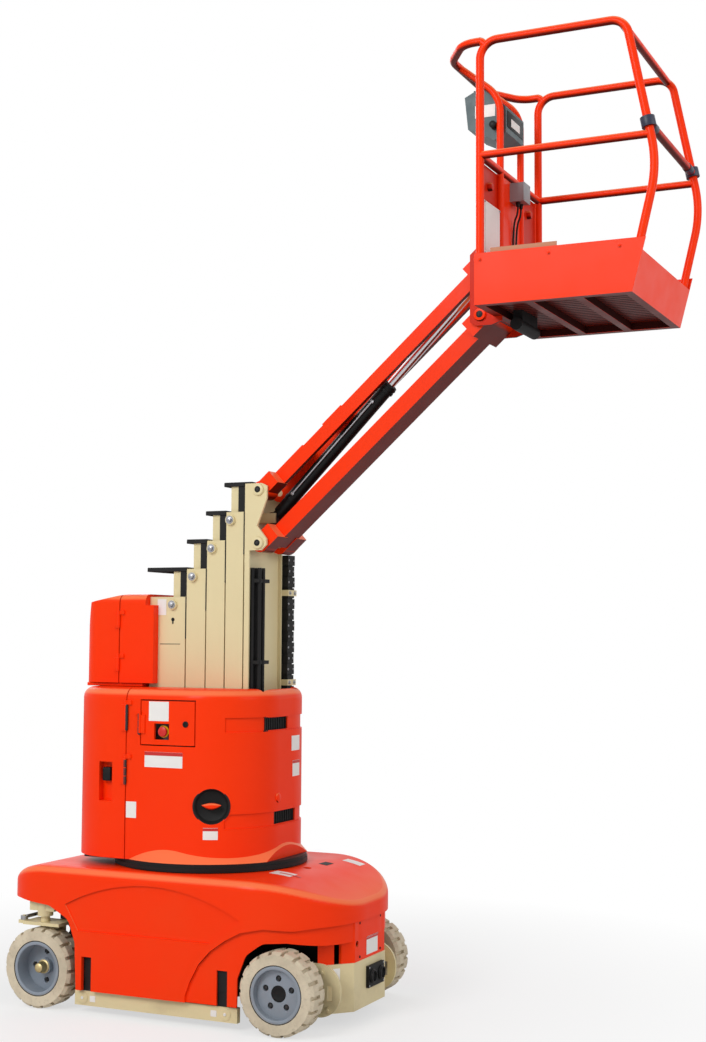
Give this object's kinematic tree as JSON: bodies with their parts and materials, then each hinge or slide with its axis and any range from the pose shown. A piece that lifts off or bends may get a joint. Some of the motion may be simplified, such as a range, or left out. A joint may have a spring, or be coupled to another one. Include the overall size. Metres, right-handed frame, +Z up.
{
  "type": "vertical mast lift",
  "caption": "Self-propelled vertical mast lift with telescoping mast, jib and guarded platform.",
  "frame": {"origin": "on the ground under the slewing axis, midway between the axles", "axes": "+X from the steered wheels to the drive wheels and the jib, +Y to the far side, +Z up"},
  "size_m": [2.9569, 0.99, 4.062],
  "materials": {
    "orange_paint": "satin orange-red enamel",
    "beige_paint": "satin beige enamel",
    "black_paint": "satin black",
    "tyre_rubber": "matt pale non-marking rubber",
    "rim_grey": "grey enamel",
    "black_rubber": "matt",
    "console_grey": "grey-green plastic",
    "box_grey": "grey plastic",
    "chrome": "polished rod",
    "white_sheet": "blank pale plastic",
    "raw_steel": "machined steel",
    "iron": "rough cast"
  },
  "bodies": {
    "chassis": {"chassis_frame": "black_paint", "drive_end_frame": "beige_paint", "drive_motors": "black_paint", "charger_socket": "black_rubber", "steering_axle": "beige_paint", "chassis_cover": "orange_paint", "slew_ring_lower": "raw_steel", "mast_well": "black_paint"},
    "drive_wheel_near": {"drive_tyre_near": "tyre_rubber", "drive_rim_near": "rim_grey"},
    "drive_wheel_far": {"drive_tyre_far": "tyre_rubber", "drive_rim_far": "rim_grey"},
    "steer_wheel_near": {"steer_tyre_near": "tyre_rubber", "steer_rim_near": "rim_grey"},
    "steer_wheel_far": {"steer_tyre_far": "tyre_rubber", "steer_rim_far": "rim_grey"},
    "knuckle_near": {"knuckle_near": "beige_paint"},
    "knuckle_far": {"knuckle_far": "beige_paint"},
    "tie_rod": {"tie_rod": "raw_steel"},
    "pothole_bar_near": {"pothole_bar_near": "beige_paint"},
    "pothole_bar_far": {"pothole_bar_far": "beige_paint"},
    "turntable": {"turntable_base": "black_paint", "hood": "orange_paint", "control_box": "black_paint", "counterweight": "iron", "battery_block": "black_rubber", "upper_box": "orange_paint", "mast_section_1": "beige_paint"},
    "rear_door_near": {"rear_door_near": "orange_paint"},
    "rear_door_far": {"rear_door_far": "orange_paint"},
    "control_door": {"control_door": "orange_paint"},
    "upper_box_door": {"upper_box_door": "orange_paint"},
    "mast_2": {"mast_section_2": "beige_paint"},
    "mast_3": {"mast_section_3": "beige_paint"},
    "mast_4": {"mast_section_4": "beige_paint"},
    "mast_5": {"mast_section_5": "beige_paint", "cable_chain": "black_rubber", "hose_bundle": "black_rubber"},
    "jib_lower": {"jib_lower_arm": "orange_paint"},
    "jib_upper": {"jib_upper_arm": "orange_paint"},
    "jib_barrel": {"jib_cylinder_barrel": "black_paint"},
    "jib_rod": {"jib_cylinder_rod": "chrome"},
    "platform": {"platform_carrier": "orange_paint", "platform_tray": "orange_paint", "rail_near": "orange_paint", "rail_far": "orange_paint", "rail_rear": "orange_paint", "rail_front": "orange_paint", "control_console": "console_grey", "junction_box": "box_grey", "foot_switch": "black_rubber", "document_holder": "white_sheet", "underside_sensor": "black_rubber"},
    "entry_bar": {"entry_bar": "orange_paint"}
  },
  "joints": [
    {"name": "drive_spin_near", "type": "hinge", "parent": "chassis", "child": "drive_wheel_near", "pos_m": [0.587, -0.435, 0.172], "axis": [0, 1, 0], "continuous": true},
    {"name": "steer_spin_near", "type": "hinge", "parent": "knuckle_near", "child": "steer_wheel_near", "pos_m": [-0.587, -0.435, 0.172], "axis": [0, 1, 0], "continuous": true},
    {"name": "drive_spin_far", "type": "hinge", "parent": "chassis", "child": "drive_wheel_far", "pos_m": [0.587, 0.435, 0.172], "axis": [0, 1, 0], "continuous": true},
    {"name": "steer_spin_far", "type": "hinge", "parent": "knuckle_far", "child": "steer_wheel_far", "pos_m": [-0.587, 0.435, 0.172], "axis": [0, 1, 0], "continuous": true},
    {"name": "steer_near", "type": "hinge", "parent": "chassis", "child": "knuckle_near", "pos_m": [-0.587, -0.435, 0.4], "axis": [0, 0, 1], "range_deg": [-40, 40]},
    {"name": "steer_far", "type": "hinge", "parent": "chassis", "child": "knuckle_far", "pos_m": [-0.587, 0.435, 0.4], "axis": [0, 0, 1], "range_deg": [-40, 40]},
    {"name": "tie_rod_eye", "type": "hinge", "parent": "knuckle_near", "child": "tie_rod", "pos_m": [-0.7, -0.435, 0.376], "axis": [0, 0, 1], "range_deg": [-40, 40]},
    {"name": "bar_lift_near", "type": "slide", "parent": "chassis", "child": "pothole_bar_near", "axis": [0, 0, 1], "range_m": [0, 0.06]},
    {"name": "bar_lift_far", "type": "slide", "parent": "chassis", "child": "pothole_bar_far", "axis": [0, 0, 1], "range_m": [0, 0.06]},
    {"name": "slewing", "type": "hinge", "parent": "chassis", "child": "turntable", "pos_m": [0, 0, 0.62], "axis": [0, 0, 1], "range_deg": [-172.5, 172.5]},
    {"name": "rear_door_near_open", "type": "hinge", "parent": "turntable", "child": "rear_door_near", "pos_m": [-0.215, -0.392, 1.1], "axis": [0, 0, 1], "range_deg": [0, 95]},
    {"name": "rear_door_far_open", "type": "hinge", "parent": "turntable", "child": "rear_door_far", "pos_m": [-0.215, 0.392, 1.1], "axis": [0, 0, -1], "range_deg": [0, 95]},
    {"name": "control_door_open", "type": "hinge", "parent": "turntable", "child": "control_door", "pos_m": [-0.144, -0.392, 1.24], "axis": [0, 0, -1], "range_deg": [0, 100]},
    {"name": "upper_box_open", "type": "hinge", "parent": "turntable", "child": "upper_box_door", "pos_m": [-0.38, -0.207, 1.6], "axis": [0, 0, 1], "range_deg": [0, 100]},
    {"name": "mast_lift_2", "type": "slide", "parent": "turntable", "child": "mast_2", "axis": [0, 0, 1], "range_m": [-0.077, 1.18]},
    {"name": "mast_lift_3", "type": "slide", "parent": "mast_2", "child": "mast_3", "axis": [0, 0, 1], "range_m": [-0.077, 1.18]},
    {"name": "mast_lift_4", "type": "slide", "parent": "mast_3", "child": "mast_4", "axis": [0, 0, 1], "range_m": [-0.077, 1.18]},
    {"name": "mast_lift_5", "type": "slide", "parent": "mast_4", "child": "mast_5", "axis": [0, 0, 1], "range_m": [-0.077, 1.18]},
    {"name": "jib_lift", "type": "hinge", "parent": "mast_5", "child": "jib_lower", "pos_m": [0.306, 0, 2.033], "axis": [0, 1, 0], "range_deg": [-28.1, 109.9]},
    {"name": "jib_upper_pivot", "type": "hinge", "parent": "mast_5", "child": "jib_upper", "pos_m": [0.306, 0, 2.269], "axis": [0, 1, 0], "range_deg": [-28.1, 109.9]},
    {"name": "platform_level", "type": "hinge", "parent": "jib_lower", "child": "platform", "pos_m": [1.3458, 0, 2.96596], "axis": [0, 1, 0], "range_deg": [-109.9, 28.1]},
    {"name": "cylinder_swing", "type": "hinge", "parent": "mast_5", "child": "jib_barrel", "pos_m": [0.306, 0, 2.151], "axis": [0, 1, 0], "range_deg": [-28.1, 109.9]},
    {"name": "cylinder_stroke", "type": "slide", "parent": "jib_barrel", "child": "jib_rod", "axis": [0.7033, 0, 0.7109], "range_m": [-0.176, 0.045]},
    {"name": "entry_bar_lift", "type": "slide", "parent": "platform", "child": "entry_bar", "axis": [-0.2009, 0, 0.9796], "range_m": [0, 0.33]}
  ],
  "couplings": [
    {"joint": "steer_far", "follows": "steer_near", "ratio": 1},
    {"joint": "tie_rod_eye", "follows": "steer_near", "ratio": -1},
    {"joint": "mast_lift_3", "follows": "mast_lift_2", "ratio": 1},
    {"joint": "mast_lift_4", "follows": "mast_lift_2", "ratio": 1},
    {"joint": "mast_lift_5", "follows": "mast_lift_2", "ratio": 1},
    {"joint": "jib_upper_pivot", "follows": "jib_lift", "ratio": 1},
    {"joint": "platform_level", "follows": "jib_lift", "ratio": -1},
    {"joint": "cylinder_swing", "follows": "jib_lift", "ratio": 1},
    {"joint": "cylinder_stroke", "follows": "jib_lift", "m_per_rad": -0.0914}
  ]
}
